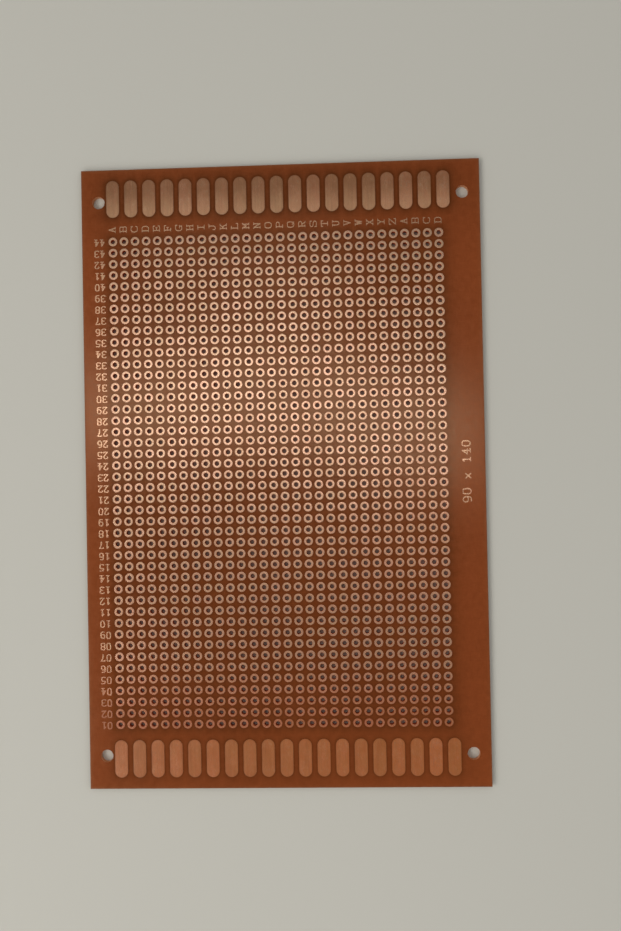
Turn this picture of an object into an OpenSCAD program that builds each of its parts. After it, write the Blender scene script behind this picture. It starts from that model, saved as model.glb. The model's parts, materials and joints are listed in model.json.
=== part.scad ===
// Prototype board: a phenolic paper laminate with a 2.54 mm grid of punched lead holes.
// One face carries copper foil: a round pad about each lead hole, in numbered rows and
// lettered columns, and a strip of long contact pads along each end of the board.
// The board lies flat with its copper up. The origin is at the middle of the underside,
// +X runs along a row, from its first column to its last, and +Y from row 01 upwards.

/* [Board] */
// Width of the board, along a row of holes
board_w = 90; // [60:1:160]
// Length of the board, from the low end to the high end
board_l = 140; // [80:1:165]
// Thickness of the laminate
board_t = 1.2; // [0.8:0.1:2.4]
// Thickness of the copper foil
foil_t = 0.035; // [0.018:0.001:0.105]

/* [Lead holes and round pads] */
// Distance between neighbouring holes, along and across the rows
pitch = 2.54; // [2.54:0.01:5.08]
// Diameter of a lead hole
hole_d = 1; // [0.6:0.05:1.4]
// Outer diameter of a round pad
pad_d = 2; // [1.6:0.05:2.4]
// Room kept at the left side for the row numbers, up to the first column's holes
left_margin = 6.6; // [4:0.1:15]
// Room kept at the right side, from the last column's holes to the edge
right_margin = 8.8; // [4:0.1:15]
// Bare laminate kept between the contacts of the low end and the first row's pads
low_band = 2.2; // [0.5:0.1:10]
// Bare laminate kept for the column letters, below the contacts of the high end
high_band = 4.2; // [0.5:0.1:10]

/* [Mounting holes] */
// Diameter of a mounting hole
mount_d = 2.8; // [2:0.1:4.5]
// Middle of a mounting hole to the board's side
mount_side = 3.9; // [3:0.1:8]
// Middle of a mounting hole to the board's end
mount_end = 7.4; // [3:0.1:10]

/* [End contacts] */
// Distance between neighbouring contacts
contact_pitch = 4.15; // [3.5:0.05:8]
// Width of a contact
contact_w = 2.9; // [1:0.1:3.2]
// Length of a contact, over its round ends
contact_l = 8.4; // [5:0.1:15]
// Board's end to the near tip of a contact
contact_inset = 2.5; // [0.5:0.1:6]
// Wall of the mounting hole to the nearest contact
contact_gap = 0.4; // [0.2:0.05:2]

/* [Hidden] */
$fn = 48;

// The field of lead holes fills the room inside its four margins and is centred in it
contact_band = contact_inset + contact_l;
field_w = board_w - left_margin - right_margin;
field_l = board_l - 2 * contact_band - low_band - high_band - pad_d;
columns = floor(field_w / pitch) + 1;
rows = floor(field_l / pitch) + 1;
first_column_x = -board_w / 2 + left_margin + (field_w - (columns - 1) * pitch) / 2;
first_row_y = -board_l / 2 + contact_band + low_band + pad_d / 2
  + (field_l - (rows - 1) * pitch) / 2;

// Mounting holes
mount_x = board_w / 2 - mount_side;
mount_y = board_l / 2 - mount_end;

// Each strip of contacts starts beside a mounting hole and ends before the next one
strip_w = 2 * mount_x - mount_d - 2 * contact_gap;
contacts = floor((strip_w - contact_w) / contact_pitch) + 1;
first_contact_x = -mount_x + mount_d / 2 + contact_gap + contact_w / 2;
contact_y = board_l / 2 - contact_inset - contact_l / 2;

// Each numbered row of round pads is a node, row 01 at the low end
function two_digits(n) = n < 10 ? str("0", n) : str(n);
function row_name(n) = str("pads_row_", two_digits(n));

// Repeats its child at the columns of one row
module along_row() {
  for (c = [0 : columns - 1])
    translate([first_column_x + c * pitch, 0])
      children();
}

// Repeats its child at the four mounting holes
module at_mounts() {
  for (x = [-mount_x, mount_x], y = [-mount_y, mount_y])
    translate([x, y])
      children();
}

// Etched foil with the outline of its child, on the laminate's upper face
module foil() {
  color("peru")
    translate([0, 0, board_t])
      linear_extrude(foil_t)
        children();
}

// Outline of one round pad, open over its lead hole
module pad_outline() {
  difference() {
    circle(d = pad_d);
    circle(d = hole_d);
  }
}

// Outline of one contact, a straight bar with half-round ends
module contact_outline() {
  straight = contact_l - contact_w;
  union() {
    square([contact_w, straight], center = true);
    for (end = [-1, 1])
      translate([0, end * straight / 2])
        circle(d = contact_w);
  }
}

// Laminate, punched for the leads and drilled for the mounting screws
module board() {
  color("saddlebrown")
    linear_extrude(board_t)
      difference() {
        square([board_w, board_l], center = true);
        for (r = [0 : rows - 1])
          translate([0, first_row_y + r * pitch])
            along_row() circle(d = hole_d);
        at_mounts() circle(d = mount_d);
      }
}

// Round pads of one numbered row
module pads_row(n) {
  foil()
    translate([0, first_row_y + (n - 1) * pitch])
      along_row() pad_outline();
}

// Strip of contacts along one end of the board: -1 the low end, 1 the high end
module contacts(end) {
  foil()
    for (i = [0 : contacts - 1])
      translate([first_contact_x + i * contact_pitch, end * contact_y])
        contact_outline();
}

board();
contacts(-1);  // contacts_low_end
contacts(1);  // contacts_high_end
for (n = [1 : rows])
  pads_row(n);
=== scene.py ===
"""Looks of a prototype board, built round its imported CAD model.

The board is a brown phenolic paper laminate with a grid of punched lead holes. Its upper face
carries copper foil: a round pad about each hole, a strip of long contacts along each end, and
etched index marks. The CAD nodes keep their meshes and get their finishes here. The etched marks
are pieces of their own. Every finish is worked out from a point's place on the board.
"""

import json
import math

import bmesh
import bpy
import numpy as np
from bpy.props import FloatProperty, FloatVectorProperty, PointerProperty, StringProperty
from bpy.types import Operator, Panel, PropertyGroup
from mathutils import Matrix, Vector
from mathutils.geometry import delaunay_2d_cdt


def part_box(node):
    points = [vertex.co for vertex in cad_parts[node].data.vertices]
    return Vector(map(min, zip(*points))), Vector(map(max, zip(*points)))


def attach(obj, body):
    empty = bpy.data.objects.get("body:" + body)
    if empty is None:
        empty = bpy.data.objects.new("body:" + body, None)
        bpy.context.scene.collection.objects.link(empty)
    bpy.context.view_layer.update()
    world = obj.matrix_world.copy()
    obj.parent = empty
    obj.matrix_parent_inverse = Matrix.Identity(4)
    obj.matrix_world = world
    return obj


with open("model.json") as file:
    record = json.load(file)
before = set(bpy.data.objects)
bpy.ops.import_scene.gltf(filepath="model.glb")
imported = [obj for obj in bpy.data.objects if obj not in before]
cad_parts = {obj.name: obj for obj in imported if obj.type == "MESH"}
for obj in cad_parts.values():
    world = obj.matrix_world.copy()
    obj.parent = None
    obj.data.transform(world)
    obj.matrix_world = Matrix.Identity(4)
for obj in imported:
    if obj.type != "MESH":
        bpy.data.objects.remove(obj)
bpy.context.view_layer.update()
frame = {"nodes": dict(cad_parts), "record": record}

bl_info = {
    "name": "Prototype Board",
    "version": (1, 0, 0),
    "blender": (4, 5, 0),
    "location": "3D View > Sidebar > Prototype Board",
    "description": "Finishes, etched index marks and a stage for a prototype board",
    "category": "Object",
}

MM = 0.001

# Stretches along the board, in millimetres from its middle, over which its looks change
FOIL_DULLS = (-38, -56)
FOIL_DIMS = (44, 54)
RESIN_DARKENS = (50, 62)

# How far a surface has to face up, or down, before it counts as a face and not as a wall
FACING = (0.5, 0.9)

# What the tints of foil multiply a colour by
ROSY = (1.03, 0.96, 0.94, 1)
GOLDEN = (0.97, 1.03, 0.97, 1)
MARKS_TARNISH = (0.76, 0.66, 0.58)
MARKS_COPPER = (1, 0.87, 0.76)

# Heights in the room, as the sine of the angle above the floor's plane
WALLS_BRIGHTEN = (0.1, 0.75)
HORIZON_ENDS = (0.12, 0.4)
CEILING_STARTS = (0.83, 0.91)

# Lamps, with places and sizes in millimetres. The left long lamp's power is a share of the
# right one's
KEY_PLACE = (-400, -130, 470)
FILL_PLACE = (-150, -430, 370)
SOFT_LAMP_SIZE = (300, 300)
CEILING_HEIGHT = 3000
LEFT_BAND_SHARE = 1.125
WARM_WHITE = (1, 0.965, 0.91)
CEILING_WHITE = (1, 1, 0.96)

# The camera's place in millimetres, and its directions
CAMERA_PLACE = (14.036, -0.799, 201.119)
CAMERA_AHEAD = (-0.04011, 0.01382, -0.99910)
CAMERA_UP = (0.01974, 0.99972, 0.01304)

# The floor's half width in metres, and its depth under the board in millimetres
FLOOR_HALF = 3.0
FLOOR_DEPTH = 0.02


class Layout:
    """Where the board's features are, in millimetres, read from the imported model."""

    def __init__(self):
        low, high = self.box("board")
        self.width = high[0] - low[0]
        self.length = high[1] - low[1]
        self.top = high[2]
        self.read_pads()
        self.read_contacts()
        self.read_holes()

    @staticmethod
    def box(node):
        """Lowest and highest corner of a CAD node, in millimetres."""
        low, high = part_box(node)
        return np.array(low) / MM, np.array(high) / MM

    def read_pads(self):
        """The grid of round pads, from the boxes of its numbered rows."""
        self.pad_nodes = sorted(name for name in frame["nodes"] if name.startswith("pads_row_"))
        self.rows = len(self.pad_nodes)
        low, high = self.box(self.pad_nodes[0])
        last_low = self.box(self.pad_nodes[-1])[0]
        self.pad_radius = (high[1] - low[1]) / 2
        self.foil = high[2] - low[2]
        self.pitch = (last_low[1] - low[1]) / (self.rows - 1)
        self.first_column = low[0] + self.pad_radius
        self.last_column = high[0] - self.pad_radius
        self.columns = round((self.last_column - self.first_column) / self.pitch) + 1
        self.first_row = low[1] + self.pad_radius
        self.last_row = self.first_row + (self.rows - 1) * self.pitch

    def read_contacts(self):
        """The strips of contacts at the two ends, from the gaps between their corners."""
        self.contact_nodes = ["contacts_low_end", "contacts_high_end"]
        corners = frame["nodes"][self.contact_nodes[0]].data.vertices
        across = np.unique([round(corner.co.x / MM, 3) for corner in corners])
        steps = np.diff(across)
        gap = steps.max()
        # Each step that is as wide as the widest one parts two contacts
        starts = across[1:][steps > gap - 0.01]
        low, high = self.box(self.contact_nodes[1])
        self.contacts = len(starts) + 1
        self.contact_pitch = (starts[-1] - low[0]) / len(starts)
        self.contact_radius = (self.contact_pitch - gap) / 2
        self.first_contact = low[0] + self.contact_radius
        self.contact_middle = (low[1] + high[1]) / 2
        self.contact_straight = (high[1] - low[1]) / 2 - self.contact_radius

    def read_holes(self):
        """The lead holes' radius and the mounting holes, from the record's mounts."""
        mounts = {mount["name"]: mount for mount in frame["record"]["mounts"]}
        self.hole_radius = mounts["lead_hole_first"]["dims"]["r_mm"]
        mounting = mounts["mounting_holes"]["dims"]
        self.mount_x = mounting["spacing_x_mm"] / 2
        self.mount_y = mounting["spacing_y_mm"] / 2
        self.mount_radius = mounting["hole_r_mm"]


BOARD = Layout()

# Characters are drawn with a pen on a grid of seven columns, a to g, and nine heights, 0 to 8.
# A comma parts two strokes, and a stroke that starts with ~ is a curve.
GLYPHS = {
    "A": "a0 c0, e0 g0, b0 d8 f0, c3 e3",
    "B": "a0 b0, a8 b8, b0 b8, ~b8 e8 g8 g4 e4 b4, ~b4 e4 g4 g0 e0 b0",
    "C": "~g6 g8 a8 a0 g0 g2, g6 g8",
    "D": "a0 b0, a8 b8, b0 b8, ~b8 g8 g0 b0",
    "E": "a0 g0, a8 g8, b0 b8, b4 e4, e3 e5, g6 g8, g0 g2",
    "F": "a0 d0, a8 g8, b0 b8, b4 e4, e3 e5, g6 g8",
    "G": "~g6 g8 a8 a0 f0 f3, d3 g3, f0 f3, g6 g8",
    "H": "a0 c0, a8 c8, e0 g0, e8 g8, b0 b8, f0 f8, b4 f4",
    "I": "b0 f0, b8 f8, d0 d8",
    "J": "c8 g8, ~e8 e0 a0 a3",
    "K": "a0 c0, a8 c8, e0 g0, e8 g8, b0 b8, b3 f8, d5 f0",
    "L": "a8 d8, a0 g0, b0 b8, g0 g2",
    "M": "a0 c0, e0 g0, a8 b8, f8 g8, b0 b8, f0 f8, b8 d3 f8",
    "N": "a0 c0, a8 b8, e8 g8, b0 b8, f0 f8, b8 f0",
    "O": "~d8 g8 g0 a0 a8 d8",
    "P": "a0 d0, a8 b8, b0 b8, ~b8 g8 g4 b4",
    "Q": "~d8 g8 g0 a0 a8 d8, d2 g0",
    "R": "a0 c0, a8 b8, b0 b8, ~b8 g8 g4 b4, d4 f0 g0",
    "S": "~g6 g8 a8 a4 g4 g0 a0 a2, g6 g8, a0 a2",
    "T": "a8 g8, a6 a8, g6 g8, d0 d8, b0 f0",
    "U": "a8 c8, e8 g8, ~b8 b0 f0 f8",
    "V": "a8 c8, e8 g8, b8 d0 f8",
    "W": "a8 c8, e8 g8, b8 c0 d6 e0 f8",
    "X": "a8 c8, e8 g8, a0 c0, e0 g0, b8 f0, b0 f8",
    "Y": "a8 c8, e8 g8, b8 d4 f8, d0 d4, b0 f0",
    "Z": "a6 a8 g8 a0 g0 g2",
    "0": "~d8 g8 g0 a0 a8 d8",
    "1": "b6 d8 d0, b0 f0",
    "2": "~a6 a8 g8 g5 a0, a0 g0 g1",
    "3": "~a7 a8 g8 g4 c4, ~c4 g4 g0 a0 a1",
    "4": "e0 e8 a3 g3, c0 g0",
    "5": "g8 b8 a5, ~a5 c5 g5 g0 a0 a1",
    "6": "~f8 a8 a0 g0 g5 a5 a2",
    "7": "a7 a8 g8, ~g8 d4 d0",
    "8": "~d8 g8 g4 a4 a8 d8, ~d4 g4 g0 a0 a4 d4",
    "9": "~b0 g0 g8 a8 a3 g3 g6",
    "x": "a0 f5, a5 f0",
}
GLYPH_WIDTH = 6
GLYPH_HEIGHT = 8
# Sides of the polygon that stands for the pen's round tip
PEN_SIDES = 12
# Cosine of the sharpest turn that a stroke takes without the pen's round tip
SMOOTH_TURN = 0.85
# How often the corners of a curve are cut
CURVE_CUTS = 3
# Two corners nearer than this are one, in millimetres
CORNER_REACH = 1e-6
# Faces that meet at less than this angle are joined, in radians
FLAT_ANGLE = 0.01

# Directions that a line of marks runs in, each with the direction that its characters stand up in
UP_THE_BOARD = ((0, 1), (-1, 0))
HEAD_DOWN = ((-1, 0), (0, -1))


class Level:
    """A number that changes over a surface. Python's own operators on it add Math nodes."""

    def __init__(self, finish, socket):
        self.finish = finish
        self.socket = socket

    def maths(self, operation, *others):
        """One Math node that takes this level first."""
        sockets = dict(zip(("Value", "Value_001", "Value_002"), (self,) + others))
        return self.finish.level("Math", {"operation": operation}, sockets)

    def __add__(self, other):
        return self.maths("ADD", other)

    def __radd__(self, other):
        return self.maths("ADD", other)

    def __sub__(self, other):
        return self.maths("SUBTRACT", other)

    def __rsub__(self, other):
        return (self * -1) + other

    def __mul__(self, other):
        return self.maths("MULTIPLY", other)

    def __rmul__(self, other):
        return self.maths("MULTIPLY", other)

    def __truediv__(self, other):
        return self.maths("DIVIDE", other)

    def __pow__(self, other):
        return self.maths("POWER", other)

    def at_least(self, least):
        """This level, or the given one where that is higher."""
        return self.maths("MAXIMUM", least)

    def at_most(self, most):
        """This level, or the given one where that is lower."""
        return self.maths("MINIMUM", most)

    def fade(self, reach):
        """1 where this level is 0, falling off as it grows to reach and beyond."""
        return (self.at_least(0) * (-1 / reach)).maths("EXPONENT")

    def ramp(self, low, high):
        """0 up to low, 1 from high on, and a smooth change between them."""
        settings = {"interpolation_type": "SMOOTHSTEP"}
        sockets = {"Value": self, "From Min": low, "From Max": high}
        return self.finish.level("MapRange", settings, sockets)


class Finish:
    """One material, or the world, as a tree of nodes."""

    def __init__(self, name, holders=bpy.data.materials):
        self.material = holders.new(name)
        self.material.use_nodes = True
        self.tree = self.material.node_tree
        self.tree.nodes.clear()
        place = self.node("TexCoord").outputs["Object"]
        self.place = self.vector("SCALE", place, Scale=1 / MM)
        parts = self.node("SeparateXYZ", {}, {"Vector": self.place}).outputs
        self.x, self.y, self.z = [Level(self, part) for part in parts]

    def node(self, kind, settings=None, sockets=None):
        """Any node: its type, its settings, and the values or links of its sockets."""
        node = self.tree.nodes.new("ShaderNode" + kind)
        for name, value in (settings or {}).items():
            setattr(node, name, value)
        inputs = {socket.identifier: socket for socket in node.inputs}
        for name, value in (sockets or {}).items():
            if isinstance(value, Level):
                value = value.socket
            if isinstance(value, bpy.types.NodeSocket):
                self.tree.links.new(value, inputs[name])
            else:
                inputs[name].default_value = value
        return node

    def level(self, kind, settings=None, sockets=None):
        """A node whose first output is a number."""
        return Level(self, self.node(kind, settings, sockets).outputs[0])

    def vector(self, operation, first, second=None, **sockets):
        """One Vector Math node on vectors or colours."""
        sockets["Vector"] = first
        if second is not None:
            sockets["Vector_001"] = second
        return self.node("VectorMath", {"operation": operation}, sockets).outputs["Vector"]

    def mix(self, share, first, second):
        """The first colour where share is 0 and the second where it is 1."""
        settings = {"data_type": "RGBA"}
        sockets = {"Factor_Float": share, "A_Color": first, "B_Color": second}
        outputs = self.node("Mix", settings, sockets).outputs
        return next(socket for socket in outputs if socket.identifier == "Result_Color")

    def shade(self, colour, strength):
        """A colour made lighter or darker by a level."""
        return self.vector("SCALE", colour, Scale=strength)

    def noise(self, stretch, detail=2.0, roughness=0.5, shift=0.0):
        """Noise about 0, with stretch giving its grains per millimetre along x, y and z. Each
        use has a shift of its own, so that no two patterns lie alike."""
        grain = self.vector("MULTIPLY_ADD", self.place, stretch, Vector_002=(shift, shift, 0))
        sockets = {"Vector": grain, "Scale": 1.0, "Detail": detail, "Roughness": roughness}
        return self.level("TexNoise", {}, sockets) - 0.5

    def luck(self, *numbers):
        """A random number from -0.5 to 0.5, the same all over a piece with the same numbers."""
        sockets = dict(zip("XYZ", numbers))
        cell = self.node("CombineXYZ", {}, sockets).outputs[0]
        return self.level("TexWhiteNoise", {}, {"Vector": cell}) - 0.5

    def upward(self):
        """How far the surface faces up: 1 for the top, 0 for a wall, -1 for the underside."""
        facing = self.node("TexCoord").outputs["Normal"]
        return Level(self, self.node("SeparateXYZ", {}, {"Vector": facing}).outputs[2])

    def nearest(self, along, first, pitch, count):
        """Distance along one axis to the nearest of evenly spaced middles, and its number."""
        number = ((along - first) / pitch).maths("ROUND").at_least(0).at_most(count - 1)
        return along - (number * pitch + first), number

    def finished(self, colour, roughness, height, constants):
        """Closes the tree. Height is in millimetres, and feeds the bump."""
        bump = self.node("Bump", {}, {"Distance": MM, "Height": height})
        sockets = {"Base Color": colour, "Roughness": roughness, "Normal": bump.outputs[0]}
        sockets.update(constants)
        shader = self.node("BsdfPrincipled", {}, sockets)
        self.node("OutputMaterial", {}, {"Surface": shader.outputs[0]})
        return self.material


def solid(colour):
    """A colour from the settings, with the fourth number that a Mix node takes."""
    return tuple(colour) + (1,)


def from_pad_middle(finish):
    """Distance to the nearest lead hole's middle, with that hole's column and row."""
    across, column = finish.nearest(finish.x, BOARD.first_column, BOARD.pitch, BOARD.columns)
    along, row = finish.nearest(finish.y, BOARD.first_row, BOARD.pitch, BOARD.rows)
    return (across * across + along * along) ** 0.5, column, row


def from_contact_spine(finish):
    """Distance to the middle line of the nearest contact, with that contact's number."""
    pitch = BOARD.contact_pitch
    across, number = finish.nearest(finish.x, BOARD.first_contact, pitch, BOARD.contacts)
    along = (finish.y.maths("ABSOLUTE") - BOARD.contact_middle).maths("ABSOLUTE")
    along = (along - BOARD.contact_straight).at_least(0)
    return (across * across + along * along) ** 0.5, number


def from_mounting_hole(finish):
    """Distance to the middle of the nearest mounting hole."""
    across = finish.x.maths("ABSOLUTE") - BOARD.mount_x
    along = finish.y.maths("ABSOLUTE") - BOARD.mount_y
    return (across * across + along * along) ** 0.5


def laminate_finish(settings):
    """Brown phenolic paper: clouded resin with fibres in it, painted shade close to foil, darker at
    the high end, red in the punched holes, pale and layered where it is drilled or sheared."""
    finish = Finish("phenolic_paper")
    upward = finish.upward()
    top = upward.ramp(*FACING)
    bottom = (upward * -1).ramp(*FACING)
    wall = 1 - upward.maths("ABSOLUTE").ramp(*FACING)
    high_end = finish.y.ramp(*RESIN_DARKENS)

    # Where a point is: distances to holes and to the board's sides, in millimetres
    pad_distance = from_pad_middle(finish)[0]
    from_mount = from_mounting_hole(finish) - BOARD.mount_radius
    from_hole = (pad_distance - BOARD.hole_radius).at_most(from_mount)
    to_side = (BOARD.width / 2 - finish.x.maths("ABSOLUTE")).at_most(
        BOARD.length / 2 - finish.y.maths("ABSOLUTE")
    )

    # Painted shade near foil: the resin is darkened close to the copper, standing in for the shade
    # that the foil casts into the translucent laminate. About a contact it is a narrow dark line,
    # partly the etched edge, and a wide, weaker painted shade, both stronger at the high end
    painted_pad_shade = (pad_distance - BOARD.pad_radius).fade(settings.painted_pad_shade_reach) * settings.painted_pad_shade_strength
    from_contact = from_contact_spine(finish)[0] - BOARD.contact_radius
    contact_line_and_shade = from_contact.fade(0.2) * 0.35 + from_contact.fade(1.5) * 0.6
    contact_line_and_shade = contact_line_and_shade * (1 + high_end * 0.7)
    foil_line_and_shade = painted_pad_shade.at_least(contact_line_and_shade) * top

    # Grain of the resin and the paper
    clouds = finish.noise((0.045, 0.035, 0.05), detail=3)
    mottle = finish.noise((0.8, 0.65, 0.8), detail=4, roughness=0.6, shift=31)
    fibre_along = finish.noise((5.5, 0.7, 4), detail=3, shift=57)
    fibre_across = finish.noise((0.7, 5.5, 4), detail=3, shift=83)
    fibres = fibre_along + fibre_across
    fleck = finish.noise((2.6, 2.1, 2.6), detail=2, roughness=0.7, shift=113).ramp(0.16, 0.3)
    plies = finish.noise((0.25, 0.25, 16), detail=2, shift=7)
    tone = 1 + clouds * settings.clouding + mottle * settings.mottling
    tone = tone + fibres * settings.fibres - fleck * 0.12 - high_end * 0.1

    # The faces. The top one gets the painted shade near foil, and on the bare one the punch leaves a
    # thin pale ring about each hole
    colour = finish.mix(foil_line_and_shade, solid(settings.resin), solid(settings.foil_line_and_shade_colour))
    stressed = from_hole.fade(0.12) * bottom * 0.55
    colour = finish.mix(stressed, colour, solid(settings.stress_colour))

    # The walls of the lead holes, the drilled holes and the sides, where the plies show
    side = to_side.ramp(0.02, 0.01) * wall
    side_colour = finish.shade(tuple(settings.side_colour), 1 + plies * 0.9)
    hole_colour = finish.shade(tuple(settings.hole_colour), 1 + plies * 0.5)
    drilled_colour = finish.shade(tuple(settings.stress_colour), 1.7 + plies * 0.5)
    hole_colour = finish.mix(from_mount.fade(0.5), hole_colour, drilled_colour)
    colour = finish.mix(wall, colour, hole_colour)
    colour = finish.mix(side, colour, side_colour)
    colour = finish.shade(colour, tone)

    # The rim of both faces, within about a quarter millimetre of the sides, takes on part of the
    # sheared sides' colour
    side_rim = to_side.fade(0.25) * (1 - wall)
    colour = finish.mix(side_rim * 0.55, colour, side_colour)

    # Roughness, and the bump's height in millimetres
    roughness = settings.roughness + mottle * 0.16 + fibres * 0.1
    roughness = (roughness + wall * 0.3 + side_rim * 0.15).at_least(0.08).at_most(0.9)
    height = mottle * 0.012 + fibres * 0.003 + plies * wall * 0.03
    constants = {
        "Specular IOR Level": settings.gloss,
        "Specular Tint": solid(settings.gloss_tint),
    }
    return finish.finished(colour, roughness, height, constants)


def tarnish(finish, settings):
    """Colour of the dulled foil, which ages from one end of the board to the other."""
    age = (finish.y / BOARD.length + 0.5).at_least(0).at_most(1)
    return finish.mix(age, solid(settings.tarnish_low), solid(settings.tarnish_high))


def copper_finish(finish, from_rim, luck, film, settings, blush=(1, 1, 1)):
    """Bare foil, brushed along the board. A film of tarnish dulls it in patches, and is worn
    through along the brushed lines, where clean metal shows. The rim is undercut by the etch.
    No two pieces have quite the same colour, and each is rosy in places and golden in others.
    Beside row 01 the foil is dulled, and beside the last rows it is a little dimmer.

    From_rim is the distance to the etched rim and luck the piece's own random number. Film is
    the tarnish's colour, and blush is what the clean metal's colour is multiplied by."""
    drift = finish.noise((0.02, 0.016, 0.02), detail=2, shift=19)
    patches = finish.noise((0.55, 0.4, 0.5), detail=5, roughness=0.65, shift=41)
    specks = finish.noise((3.1, 2.6, 3), detail=3, roughness=0.7, shift=67).ramp(0.1, 0.26)
    lines = (22, 1 / settings.line_length, 22)
    brushed = finish.noise(lines, detail=3, roughness=0.6, shift=97)
    streaks = finish.noise((2.4, 0.12, 2.4), detail=3, roughness=0.6, shift=151)
    rim = from_rim.fade(settings.rim_reach)
    dulled = finish.y.ramp(*FOIL_DULLS) * settings.dulling
    dimmed = finish.y.ramp(*FOIL_DIMS) * settings.dulling * 0.8

    # How far the tarnish is worn through: 0 is all film and 1 is clean metal
    wear = drift * 0.2 + (patches + streaks - specks * 0.3) * settings.patches
    share = settings.clean + wear + luck * (settings.spread * 0.7) - rim * 0.3 - dulled
    clean = (brushed * settings.grain + (share - 0.5) * 0.5).ramp(-0.2, 0.2)

    # Colours of the film and the metal, and a tint that changes from place to place
    tone = 1 + patches * 0.25 + (brushed + streaks) * settings.brushing + luck * settings.spread
    film = finish.shade(film, tone * (1 - rim * settings.rim_shade) * (1 - dulled * 1.5))
    metal = solid(part * factor for part, factor in zip(settings.copper, blush))
    colour = finish.mix(clean * clean, film, metal)
    hue = finish.noise((0.9, 0.3, 0.9), detail=2, shift=131) * 1.8 + luck * -0.7 + 0.5
    colour = finish.vector("MULTIPLY", colour, finish.mix(hue, ROSY, GOLDEN))
    colour = finish.shade(colour, 1 - dimmed)

    # Roughness, and the bump's height in millimetres
    roughness = settings.roughness + (1 - clean) * 0.1 + patches * 0.1
    roughness = roughness.at_least(0.1).at_most(0.8)
    height = brushed * 0.0003 + patches * 0.001 - rim * 0.006
    constants = {
        "Metallic": clean,
        "Coat Weight": settings.lacquer,
        "Coat Roughness": 0.3,
        "Coat IOR": 1.5,
    }
    return finish.finished(colour, roughness, height, constants)


def pads_finish(settings):
    """The round pads' foil, with a rim at its outer edge and about its hole."""
    finish = Finish("copper_pads")
    distance, column, row = from_pad_middle(finish)
    from_rim = (BOARD.pad_radius - distance).at_most(distance - BOARD.hole_radius)
    luck = finish.luck(column, row, 0.5)
    return copper_finish(finish, from_rim, luck, tarnish(finish, settings), settings)


def contacts_finish(settings):
    """The long contacts' foil, with a painted highlight at the high end's inner tips."""
    finish = Finish("copper_contacts")
    distance, number = from_contact_spine(finish)
    luck = finish.luck(number, finish.y.maths("SIGN"), 0.5)
    half = BOARD.contact_straight + BOARD.contact_radius
    outward = finish.y.ramp(BOARD.contact_middle - half, BOARD.contact_middle + half * 0.6)
    # Painted highlight: the high end's contacts are lighter towards their inner tips, nearest the
    # lamps
    inner = (1 - outward) * finish.y.ramp(0, 1)
    film = finish.mix(inner, tarnish(finish, settings), solid(settings.painted_tip_highlight))
    return copper_finish(finish, BOARD.contact_radius - distance, luck, film, settings)


def marks_finish(settings):
    """The etched marks' foil, a little darker and redder than the pads. A stroke has no middle
    to measure from, so its rim comes and goes."""
    finish = Finish("copper_marks")
    from_rim = finish.noise((2, 2, 2)) * 0.2 + 0.3
    luck = finish.luck((finish.x / 2).maths("ROUND"), (finish.y / 2).maths("ROUND"), 0.5)
    film = finish.vector("MULTIPLY", tarnish(finish, settings), MARKS_TARNISH)
    return copper_finish(finish, from_rim, luck, film, settings, MARKS_COPPER)


def give_finish(names, material):
    """Puts a finish on CAD nodes, in the slots that they already have."""
    for name in names:
        for slot in frame["nodes"][name].material_slots:
            slot.material = material


def smooth_path(points):
    """Cuts the corners of a line of points until it reads as a curve. Its ends stay."""
    for _ in range(CURVE_CUTS):
        cut = [points[0]]
        for start, end in zip(points, points[1:]):
            cut.append(start * 0.75 + end * 0.25)
            cut.append(start * 0.25 + end * 0.75)
        points = cut + [points[-1]]
    return points


def stroke_path(stroke):
    """The points of one stroke of a character, on the character's own grid."""
    curved = stroke.startswith("~")
    corners = stroke.lstrip("~").split()
    points = [np.array([ord(corner[0]) - ord("a"), int(corner[1])], float) for corner in corners]
    return smooth_path(points) if curved else points


def pen_outlines(points, pen):
    """Outlines that together cover what an oval pen draws along a line of points. The pen's
    round tip shows at both ends and where the line turns sharply."""
    path = [point / pen for point in points]
    turns = np.linspace(0, 2 * math.pi, PEN_SIDES, endpoint=False)
    tip = np.column_stack([np.cos(turns), np.sin(turns)])
    outlines = [path[0] + tip, path[-1] + tip]
    across = []
    for start, end in zip(path, path[1:]):
        along = (end - start) / np.linalg.norm(end - start)
        across.append(np.array([-along[1], along[0]]))
    at_start, at_end = list(across), list(across)
    for index, (before, after) in enumerate(zip(across, across[1:])):
        if before @ after > SMOOTH_TURN:
            at_end[index] = at_start[index + 1] = (before + after) / (1 + before @ after)
        else:
            outlines.append(path[index + 1] + tip)
    for start, end, first, last in zip(path, path[1:], at_start, at_end):
        outlines.append([start - first, end - last, end + last, start + first])
    return [np.array(outline) * pen for outline in outlines]


def character_patch(character, size, pen):
    """Corners and triangles of one character that is centred on the origin, in millimetres."""
    grid = np.array([GLYPH_WIDTH, GLYPH_HEIGHT])
    scale = (np.array(size) - 2 * np.array(pen)) / grid
    corners, outlines = [], []
    for stroke in GLYPHS[character].split(", "):
        points = [(point - grid / 2) * scale for point in stroke_path(stroke)]
        for outline in pen_outlines(points, np.array(pen)):
            outlines.append(list(range(len(corners), len(corners) + len(outline))))
            corners.extend(Vector(corner) for corner in outline)
    # The 1 asks for triangles inside the outlines, and True for the outlines of each triangle
    result = delaunay_2d_cdt(corners, [], outlines, 1, CORNER_REACH, True)
    corners, faces, covering = result[0], result[2], result[5]
    return corners, [face for face, sources in zip(faces, covering) if sources]


def lay_character(sheet, patch, middle, direction):
    """Adds one character to a flat sheet of foil."""
    corners, triangles = patch
    right, up = (Vector(axis) for axis in direction)
    used = sorted({index for triangle in triangles for index in triangle})
    placed = {}
    for index in used:
        spot = Vector(middle) + right * corners[index].x + up * corners[index].y
        placed[index] = sheet.verts.new((spot.x * MM, spot.y * MM, BOARD.top * MM))
    for triangle in triangles:
        sheet.faces.new([placed[index] for index in triangle])


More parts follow.
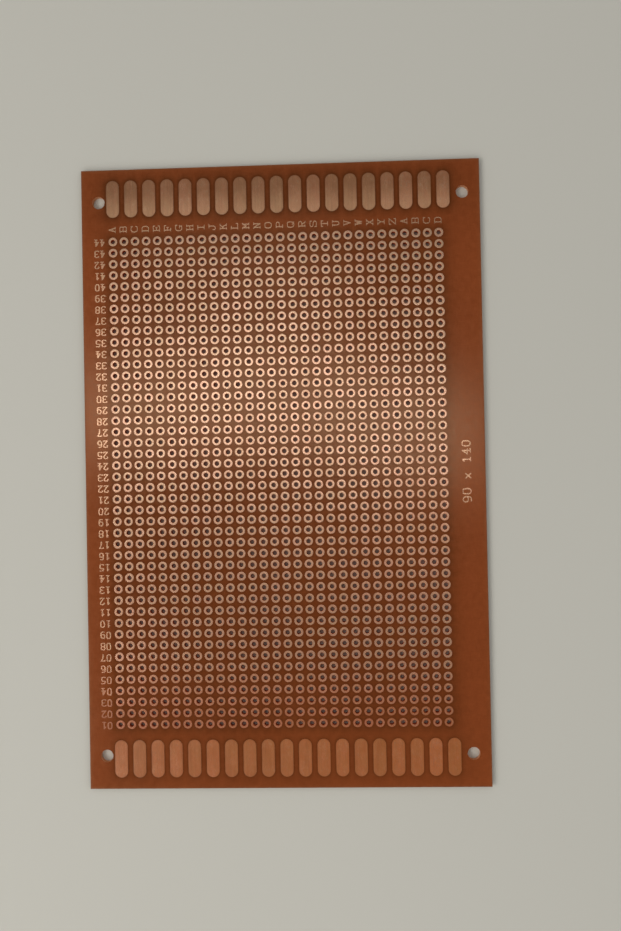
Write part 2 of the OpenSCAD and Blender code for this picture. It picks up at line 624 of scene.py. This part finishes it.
def etched_piece(name, lines, weight, settings, material):
    """A piece of etched foil from lines of characters, with strokes of the weight given. Each
    line is its text, the middle of its first character, the step to the next one, its direction
    and the size of a character."""
    sheet = bmesh.new()
    pen = (settings.stem * weight / 2, settings.bar * weight / 2)
    patches = {}
    for text, middle, step, direction, size in lines:
        spot = Vector(middle)
        for character in text:
            if character != " ":
                key = (character, size)
                if key not in patches:
                    patches[key] = character_patch(character, size, pen)
                lay_character(sheet, patches[key], spot, direction)
            spot = spot + Vector(direction[0]) * step
    bmesh.ops.dissolve_limit(
        sheet,
        angle_limit=FLAT_ANGLE,
        use_dissolve_boundaries=False,
        verts=sheet.verts[:],
        edges=sheet.edges[:],
    )
    underside = sheet.faces[:]
    raised = bmesh.ops.extrude_face_region(sheet, geom=underside, use_keep_orig=True)
    corners = [part for part in raised["geom"] if isinstance(part, bmesh.types.BMVert)]
    bmesh.ops.translate(sheet, verts=corners, vec=(0, 0, BOARD.foil * MM))
    bmesh.ops.reverse_faces(sheet, faces=underside)
    mesh = bpy.data.meshes.new(name)
    sheet.to_mesh(mesh)
    sheet.free()
    mesh.materials.append(material)
    piece = bpy.data.objects.new(name, mesh)
    bpy.context.scene.collection.objects.link(piece)
    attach(piece, "root")
    return piece


def marks_material():
    """The finish that all etched marks share."""
    found = bpy.data.materials.get("copper_marks")
    return found or marks_finish(bpy.context.scene.prototype_board.pads)


class LaminateSettings(PropertyGroup):
    """Colours and texture of the phenolic paper."""

    resin: FloatVectorProperty(
        name="Resin",
        description="Colour of the bare laminate, away from any foil",
        subtype="COLOR",
        default=(0.205, 0.048, 0.0135),
        min=0,
        max=1,
    )
    # Painted shade: the resin's colour close to foil, standing in for the shade that the foil casts
    foil_line_and_shade_colour: FloatVectorProperty(
        name="Resin near foil",
        description="Colour of the laminate close to a piece of foil",
        subtype="COLOR",
        default=(0.104, 0.026, 0.0065),
        min=0,
        max=1,
    )
    # Painted shade about the pads: how strong it is, and the distance over which it fades
    painted_pad_shade_strength: FloatProperty(
        name="Darkening near foil",
        description="How strongly the laminate darkens at the rim of a piece of foil",
        subtype="FACTOR",
        default=0.95,
        min=0,
        max=1,
    )
    painted_pad_shade_reach: FloatProperty(
        name="Reach of the darkening",
        description="Distance over which the darkening fades, in millimetres",
        default=1.6,
        min=0.1,
        max=10,
    )
    hole_colour: FloatVectorProperty(
        name="Hole walls",
        description="Colour of the punched walls of the holes",
        subtype="COLOR",
        default=(0.39, 0.068, 0.017),
        min=0,
        max=1,
    )
    side_colour: FloatVectorProperty(
        name="Sheared sides",
        description="Colour of the four sheared sides, where the plies of paper show",
        subtype="COLOR",
        default=(0.16, 0.065, 0.027),
        min=0,
        max=1,
    )
    stress_colour: FloatVectorProperty(
        name="Stressed resin",
        description="Colour of the thin pale ring that the punch leaves on the bare face",
        subtype="COLOR",
        default=(0.30, 0.12, 0.05),
        min=0,
        max=1,
    )
    clouding: FloatProperty(
        name="Clouding",
        description="Strength of the slow light and dark clouds in the resin",
        default=0.35,
        min=0,
        max=1,
    )
    mottling: FloatProperty(
        name="Mottling",
        description="Strength of the mottles about a millimetre wide",
        default=0.3,
        min=0,
        max=1,
    )
    fibres: FloatProperty(
        name="Fibres",
        description="Strength of the paper's fibres",
        default=0.22,
        min=0,
        max=1,
    )
    roughness: FloatProperty(
        name="Roughness",
        description="Roughness of the pressed face",
        subtype="FACTOR",
        default=0.16,
        min=0,
        max=1,
    )
    gloss: FloatProperty(
        name="Gloss",
        description="Strength of the reflection of the pressed face",
        subtype="FACTOR",
        default=0.53,
        min=0,
        max=1,
    )
    gloss_tint: FloatVectorProperty(
        name="Tint of the gloss",
        description="Colour that the resin gives to what it reflects",
        subtype="COLOR",
        default=(1.0, 0.70, 0.45),
        min=0,
        max=1,
    )


class FoilLook:
    """What all copper foil has in common."""

    copper: FloatVectorProperty(
        name="Copper",
        description="Colour of clean metal",
        subtype="COLOR",
        default=(0.94, 0.74, 0.57),
        min=0,
        max=1,
    )
    roughness: FloatProperty(
        name="Roughness",
        description="Roughness of the clean metal",
        subtype="FACTOR",
        default=0.21,
        min=0,
        max=1,
    )
    lacquer: FloatProperty(
        name="Lacquer",
        description="Strength of the thin clear flux on the foil",
        subtype="FACTOR",
        default=0.12,
        min=0,
        max=1,
    )


class PadSettings(FoilLook, PropertyGroup):
    """Colours and texture of the round pads and of the marks."""

    tarnish_low: FloatVectorProperty(
        name="Tarnish at the low end",
        description="Colour of dulled foil beside row 01",
        subtype="COLOR",
        default=(0.48, 0.105, 0.021),
        min=0,
        max=1,
    )
    tarnish_high: FloatVectorProperty(
        name="Tarnish at the high end",
        description="Colour of dulled foil beside the last row",
        subtype="COLOR",
        default=(0.71, 0.31, 0.17),
        min=0,
        max=1,
    )
    clean: FloatProperty(
        name="Clean metal",
        description="Share of the foil where the tarnish is worn through",
        subtype="FACTOR",
        default=0.62,
        min=0,
        max=1,
    )
    patches: FloatProperty(
        name="Patches",
        description="How far the tarnish is worn more in some patches than in others",
        default=0.12,
        min=0,
        max=1,
    )
    grain: FloatProperty(
        name="Grain",
        description="How far the fine lines part clean metal from dulled metal",
        default=0.45,
        min=0,
        max=2,
    )
    dulling: FloatProperty(
        name="Dulling",
        description="How much duller the foil is beside row 01, and dimmer beside the last rows",
        subtype="FACTOR",
        default=0.2,
        min=0,
        max=1,
    )
    line_length: FloatProperty(
        name="Line length",
        description="Length of the fine lines along the board, in millimetres",
        default=0.2,
        min=0.05,
        max=10,
    )
    brushing: FloatProperty(
        name="Brushing",
        description="Strength of the fine lines along the board",
        default=0.2,
        min=0,
        max=1,
    )
    spread: FloatProperty(
        name="Spread",
        description="How much one pad differs from the next",
        default=0.08,
        min=0,
        max=1,
    )
    rim_reach: FloatProperty(
        name="Width of the rim",
        description="Distance over which the etched rim fades, in millimetres",
        default=0.07,
        min=0.01,
        max=1,
    )
    rim_shade: FloatProperty(
        name="Darkness of the rim",
        description="How much darker the etched rim is",
        subtype="FACTOR",
        default=0.4,
        min=0,
        max=1,
    )


class ContactSettings(FoilLook, PropertyGroup):
    """Colours and texture of the long contacts, which are duller than the pads."""

    tarnish_low: FloatVectorProperty(
        name="Tarnish at the low end",
        description="Colour of the dulled contacts beside row 01",
        subtype="COLOR",
        default=(0.335, 0.096, 0.023),
        min=0,
        max=1,
    )
    tarnish_high: FloatVectorProperty(
        name="Tarnish at the high end",
        description="Colour of the dulled contacts beside the last row",
        subtype="COLOR",
        default=(0.205, 0.080, 0.031),
        min=0,
        max=1,
    )
    # Painted highlight: a lighter film colour at the inner tips of the high end's contacts
    painted_tip_highlight: FloatVectorProperty(
        name="Tarnish at the inner tips",
        description="Colour of the high end's contacts at their inner tips",
        subtype="COLOR",
        default=(0.36, 0.175, 0.09),
        min=0,
        max=1,
    )
    clean: FloatProperty(
        name="Clean metal",
        description="Share of the contacts where the tarnish is worn through",
        subtype="FACTOR",
        default=0.2,
        min=0,
        max=1,
    )
    patches: FloatProperty(
        name="Patches",
        description="How far the tarnish is worn more in some patches than in others",
        default=0.35,
        min=0,
        max=1,
    )
    grain: FloatProperty(
        name="Grain",
        description="How far the fine lines part clean metal from dulled metal",
        default=1.0,
        min=0,
        max=2,
    )
    dulling: FloatProperty(
        name="Dulling",
        description="How much duller the foil is at the low end, and dimmer at the high end",
        subtype="FACTOR",
        default=0.0,
        min=0,
        max=1,
    )
    line_length: FloatProperty(
        name="Line length",
        description="Length of the fine lines along the board, in millimetres",
        default=0.83,
        min=0.05,
        max=10,
    )
    brushing: FloatProperty(
        name="Brushing",
        description="Strength of the fine lines along the board",
        default=0.6,
        min=0,
        max=1,
    )
    spread: FloatProperty(
        name="Spread",
        description="How much one contact differs from the next",
        default=0.14,
        min=0,
        max=1,
    )
    rim_reach: FloatProperty(
        name="Width of the rim",
        description="Distance over which the etched rim fades, in millimetres",
        default=0.12,
        min=0.01,
        max=1,
    )
    rim_shade: FloatProperty(
        name="Darkness of the rim",
        description="How much darker the etched rim is",
        subtype="FACTOR",
        default=0.2,
        min=0,
        max=1,
    )


class MarkSettings(PropertyGroup):
    """Sizes and places of the etched marks, in millimetres."""

    stem: FloatProperty(
        name="Stem", description="Width of an upright stroke", default=0.24, min=0.05, max=1
    )
    bar: FloatProperty(
        name="Bar", description="Width of a level stroke", default=0.17, min=0.05, max=1
    )
    number_weight: FloatProperty(
        name="Number weight",
        description="Width of the numbers' strokes, as a share of the letters'",
        default=1.25,
        min=0.5,
        max=2,
    )
    letter_height: FloatProperty(
        name="Letter height", description="Height of a column's letter", default=1.62, min=0.5, max=5
    )
    letter_width: FloatProperty(
        name="Letter width", description="Width of a column's letter", default=1.46, min=0.5, max=5
    )
    letter_gap: FloatProperty(
        name="Letter distance",
        description="From the last row's holes to the middle of a letter",
        default=2.73,
        min=1.5,
        max=10,
    )
    letter_shift: FloatProperty(
        name="Letter shift",
        description="How far a letter sits towards the first column",
        default=0.14,
        min=-1,
        max=1,
    )
    digit_height: FloatProperty(
        name="Digit height", description="Height of a row's number", default=1.66, min=0.5, max=5
    )
    digit_width: FloatProperty(
        name="Digit width", description="Width of one digit", default=1.12, min=0.3, max=5
    )
    digit_step: FloatProperty(
        name="Digit step", description="From one digit to the next", default=1.32, min=0.4, max=5
    )
    digit_gap: FloatProperty(
        name="Number distance",
        description="From the first column's holes to the middle of a number",
        default=3.08,
        min=1.5,
        max=10,
    )
    digit_shift: FloatProperty(
        name="Number shift",
        description="How far a number sits below its row",
        default=0.17,
        min=-1,
        max=1,
    )
    size_text: StringProperty(
        name="Size mark", description="Plain numbers beside the holes", default="90 x 140"
    )
    size_height: FloatProperty(
        name="Size mark height", description="Height of the size mark", default=2.0, min=0.5, max=5
    )
    size_width: FloatProperty(
        name="Size mark width",
        description="Width of one character of the size mark",
        default=1.45,
        min=0.3,
        max=5,
    )
    size_step: FloatProperty(
        name="Size mark step",
        description="From one character of the size mark to the next",
        default=1.78,
        min=0.5,
        max=5,
    )
    size_inset: FloatProperty(
        name="Size mark inset",
        description="From the board's side to the middle of the size mark",
        default=4.2,
        min=2,
        max=20,
    )


class StageSettings(PropertyGroup):
    """Floor, lamps and camera."""

    floor: FloatVectorProperty(
        name="Floor",
        description="Colour of the floor",
        subtype="COLOR",
        default=(0.50, 0.49, 0.45),
        min=0,
        max=1,
    )
    room: FloatVectorProperty(
        name="Room",
        description="Tint of the plain light from all round",
        subtype="COLOR",
        default=(0.985, 1.0, 0.98),
        min=0,
        max=1,
    )
    ceiling_tint: FloatVectorProperty(
        name="Tint of the ceiling",
        description="Tint of the dim ceiling, which the foil mirrors",
        subtype="COLOR",
        default=(1.0, 0.66, 0.42),
        min=0,
        max=1,
    )
    horizon: FloatProperty(
        name="Horizon",
        description="Brightness of the far end of the room, which shows behind the floor",
        default=0.45,
        min=0,
    )
    walls_low: FloatProperty(
        name="Walls near the floor",
        description="Brightness of the walls low down",
        default=0.12,
        min=0,
    )
    walls_high: FloatProperty(
        name="Walls near the ceiling",
        description="Brightness of the walls high up",
        default=0.9,
        min=0,
    )
    ceiling: FloatProperty(
        name="Ceiling",
        description="Brightness of the ceiling straight overhead",
        default=0.065,
        min=0,
    )
    key_power: FloatProperty(
        name="Key lamp", description="Power of the key lamp", unit="POWER", default=1.3, min=0
    )
    fill_power: FloatProperty(
        name="Fill lamp", description="Power of the fill lamp", unit="POWER", default=0.55, min=0
    )
    band_power: FloatProperty(
        name="Ceiling lamps",
        description="Power of the right one of the two long lamps that the copper mirrors",
        unit="POWER",
        default=2.5,
        min=0,
    )
    upper_power: FloatProperty(
        name="Further ceiling lamp",
        description="Power of the dim lamp beyond them, which the high end mirrors",
        unit="POWER",
        default=0.6,
        min=0,
    )
    lens: FloatProperty(
        name="Lens", description="Focal length", subtype="DISTANCE_CAMERA", default=34.486, min=1
    )


class BoardSettings(PropertyGroup):
    """All settings of the prototype board."""

    laminate: PointerProperty(type=LaminateSettings)
    pads: PointerProperty(type=PadSettings)
    contacts: PointerProperty(type=ContactSettings)
    marks: PointerProperty(type=MarkSettings)
    stage: PointerProperty(type=StageSettings)


class PROTOTYPE_BOARD_OT_laminate(Operator):
    """Give the laminate its brown phenolic paper finish"""

    bl_idname = "prototype_board.laminate"
    bl_label = "Laminate"

    def execute(self, context):
        settings = context.scene.prototype_board.laminate
        give_finish(["board"], laminate_finish(settings))
        return {"FINISHED"}


class PROTOTYPE_BOARD_OT_round_pads(Operator):
    """Give the round pads of every row their copper finish"""

    bl_idname = "prototype_board.round_pads"
    bl_label = "Round pads"

    def execute(self, context):
        settings = context.scene.prototype_board.pads
        give_finish(BOARD.pad_nodes, pads_finish(settings))
        return {"FINISHED"}


class PROTOTYPE_BOARD_OT_contacts(Operator):
    """Give the contacts of both ends their copper finish"""

    bl_idname = "prototype_board.contacts"
    bl_label = "Contacts"

    def execute(self, context):
        settings = context.scene.prototype_board.contacts
        give_finish(BOARD.contact_nodes, contacts_finish(settings))
        return {"FINISHED"}


class PROTOTYPE_BOARD_OT_row_numbers(Operator):
    """Etch the rows' numbers, head down, beside the first column"""

    bl_idname = "prototype_board.row_numbers"
    bl_label = "Row numbers"

    def execute(self, context):
        marks = context.scene.prototype_board.marks
        size = (marks.digit_width, marks.digit_height)
        first_x = BOARD.first_column - marks.digit_gap + marks.digit_step / 2
        lines = []
        for row in range(BOARD.rows):
            middle = (first_x, BOARD.first_row + row * BOARD.pitch - marks.digit_shift)
            lines.append((f"{row + 1:02d}", middle, marks.digit_step, HEAD_DOWN, size))
        etched_piece("row_numbers", lines, marks.number_weight, marks, marks_material())
        return {"FINISHED"}


class PROTOTYPE_BOARD_OT_column_letters(Operator):
    """Etch the columns' letters, reading up the board, beyond the last row"""

    bl_idname = "prototype_board.column_letters"
    bl_label = "Column letters"

    def execute(self, context):
        marks = context.scene.prototype_board.marks
        size = (marks.letter_width, marks.letter_height)
        lines = []
        for column in range(BOARD.columns):
            letter = chr(ord("A") + column % 26)
            x = BOARD.first_column + column * BOARD.pitch - marks.letter_shift
            middle = (x, BOARD.last_row + marks.letter_gap)
            lines.append((letter, middle, 0, UP_THE_BOARD, size))
        etched_piece("column_letters", lines, 1, marks, marks_material())
        return {"FINISHED"}


class PROTOTYPE_BOARD_OT_size_marks(Operator):
    """Etch the board's size in plain numbers beside the last column"""

    bl_idname = "prototype_board.size_marks"
    bl_label = "Size marks"

    def execute(self, context):
        marks = context.scene.prototype_board.marks
        size = (marks.size_width, marks.size_height)
        half = marks.size_step * (len(marks.size_text) - 1) / 2
        middle = (BOARD.width / 2 - marks.size_inset, -half)
        lines = [(marks.size_text, middle, marks.size_step, UP_THE_BOARD, size)]
        etched_piece("size_marks", lines, marks.number_weight, marks, marks_material())
        return {"FINISHED"}


def floor_piece(settings):
    """A wide plain floor just under the board."""
    sheet = bmesh.new()
    corners = [
        sheet.verts.new((x * FLOOR_HALF, y * FLOOR_HALF, -FLOOR_DEPTH * MM))
        for x, y in ((-1, -1), (1, -1), (1, 1), (-1, 1))
    ]
    sheet.faces.new(corners)
    mesh = bpy.data.meshes.new("floor")
    sheet.to_mesh(mesh)
    sheet.free()
    finish = Finish("floor")
    shading = finish.noise((0.01, 0.01, 0.01), detail=2)
    colour = finish.shade(tuple(settings.floor), 1 + shading * 0.03)
    height = finish.noise((1.5, 1.5, 1.5), detail=3) * 0.01
    mesh.materials.append(finish.finished(colour, 0.75, height, {"Specular IOR Level": 0.2}))
    floor = bpy.data.objects.new("floor", mesh)
    bpy.context.scene.collection.objects.link(floor)


def room_light(settings):
    """Plain light from all round: pale walls, and a dim ceiling that gloss and metal mirror."""
    room = Finish("room", bpy.data.worlds)
    facing = room.node("TexCoord").outputs["Generated"]
    height = Level(room, room.node("SeparateXYZ", {}, {"Vector": facing}).outputs[2])
    rise = settings.walls_high - settings.walls_low
    walls = settings.walls_low + height.ramp(*WALLS_BRIGHTEN) * rise
    horizon = 1 - height.ramp(*HORIZON_ENDS)
    walls = walls * (1 - horizon) + horizon * settings.horizon
    ceiling = height.ramp(*CEILING_STARTS)
    strength = walls * (1 - ceiling) + ceiling * settings.ceiling
    colour = room.mix(ceiling, solid(settings.room), solid(settings.ceiling_tint))
    light = room.node("Background", {}, {"Color": colour, "Strength": strength})
    room.node("OutputWorld", {}, {"Surface": light.outputs[0]})
    return room.material


def area_lamp(name, place, target, size, power, colour, turn=0.0):
    """A soft rectangular lamp at a place, in millimetres, that shines on a target."""
    lamp = bpy.data.lights.new(name, "AREA")
    lamp.shape = "RECTANGLE"
    lamp.size, lamp.size_y = size[0] * MM, size[1] * MM
    lamp.energy = power
    lamp.color = colour
    holder = bpy.data.objects.new(name, lamp)
    place, target = Vector(place), Vector(target)
    aim = (target - place).to_track_quat("-Z", "Y").to_matrix().to_4x4()
    spin = Matrix.Rotation(math.radians(turn), 4, "Z")
    holder.matrix_world = Matrix.Translation(place * MM) @ spin @ aim
    bpy.context.scene.collection.objects.link(holder)


def photo_camera(settings):
    """The camera, almost straight above the board."""
    camera = bpy.data.cameras.new("camera")
    camera.lens = settings.lens
    camera.clip_start = 0.01
    camera.clip_end = 20
    holder = bpy.data.objects.new("camera", camera)
    ahead = Vector(CAMERA_AHEAD).normalized()
    right = ahead.cross(Vector(CAMERA_UP)).normalized()
    up = right.cross(ahead)
    turn = Matrix((right, up, -ahead)).transposed()
    holder.matrix_world = Matrix.Translation(Vector(CAMERA_PLACE) * MM) @ turn.to_4x4()
    bpy.context.scene.collection.objects.link(holder)
    bpy.context.scene.camera = holder


class PROTOTYPE_BOARD_OT_stage(Operator):
    """Set up the pale floor, the soft lamps and the camera"""

    bl_idname = "prototype_board.stage"
    bl_label = "Stage"

    def execute(self, context):
        settings = context.scene.prototype_board.stage
        context.scene.view_settings.view_transform = "Standard"
        context.scene.world = room_light(settings)
        floor_piece(settings)
        for name, place, power in (
            ("key", KEY_PLACE, settings.key_power),
            ("fill", FILL_PLACE, settings.fill_power),
        ):
            area_lamp(name, place, (0, 0, 0), SOFT_LAMP_SIZE, power, WARM_WHITE)
        left_power = settings.band_power * LEFT_BAND_SHARE
        for name, x, y, size, turn, power in (
            ("band_left", -658, 266, (904, 330), 3.3, left_power),
            ("band_right", 144, 203, (730, 330), -16, settings.band_power),
            ("band_upper", -330, 668, (700, 385), 0, settings.upper_power),
        ):
            over, under = (x, y, CEILING_HEIGHT), (x, y, 0)
            area_lamp(name, over, under, size, power, CEILING_WHITE, turn)
        photo_camera(settings)
        return {"FINISHED"}


STEPS = (
    PROTOTYPE_BOARD_OT_laminate,
    PROTOTYPE_BOARD_OT_round_pads,
    PROTOTYPE_BOARD_OT_contacts,
    PROTOTYPE_BOARD_OT_row_numbers,
    PROTOTYPE_BOARD_OT_column_letters,
    PROTOTYPE_BOARD_OT_size_marks,
    PROTOTYPE_BOARD_OT_stage,
)


class PROTOTYPE_BOARD_PT_sidebar(Panel):
    """Lists the pieces of the board in the order in which they are made"""

    bl_idname = "PROTOTYPE_BOARD_PT_sidebar"
    bl_label = "Prototype Board"
    bl_space_type = "VIEW_3D"
    bl_region_type = "UI"
    bl_category = "Prototype Board"

    def draw(self, context):
        for step in STEPS:
            self.layout.operator(step.bl_idname, text=step.bl_label)


CLASSES = (
    LaminateSettings,
    PadSettings,
    ContactSettings,
    MarkSettings,
    StageSettings,
    BoardSettings,
) + STEPS + (PROTOTYPE_BOARD_PT_sidebar,)


def register():
    """Registers the classes and adds the settings to the scene."""
    for each in CLASSES:
        bpy.utils.register_class(each)
    bpy.types.Scene.prototype_board = PointerProperty(type=BoardSettings)


def unregister():
    """Takes out what register added."""
    del bpy.types.Scene.prototype_board
    for each in reversed(CLASSES):
        bpy.utils.unregister_class(each)


def main():
    """Makes every piece and the stage."""
    register()
    bpy.ops.prototype_board.laminate()
    bpy.ops.prototype_board.round_pads()
    bpy.ops.prototype_board.contacts()
    bpy.ops.prototype_board.row_numbers()
    bpy.ops.prototype_board.column_letters()
    bpy.ops.prototype_board.size_marks()
    bpy.ops.prototype_board.stage()


if __name__ == "__main__":
    main()
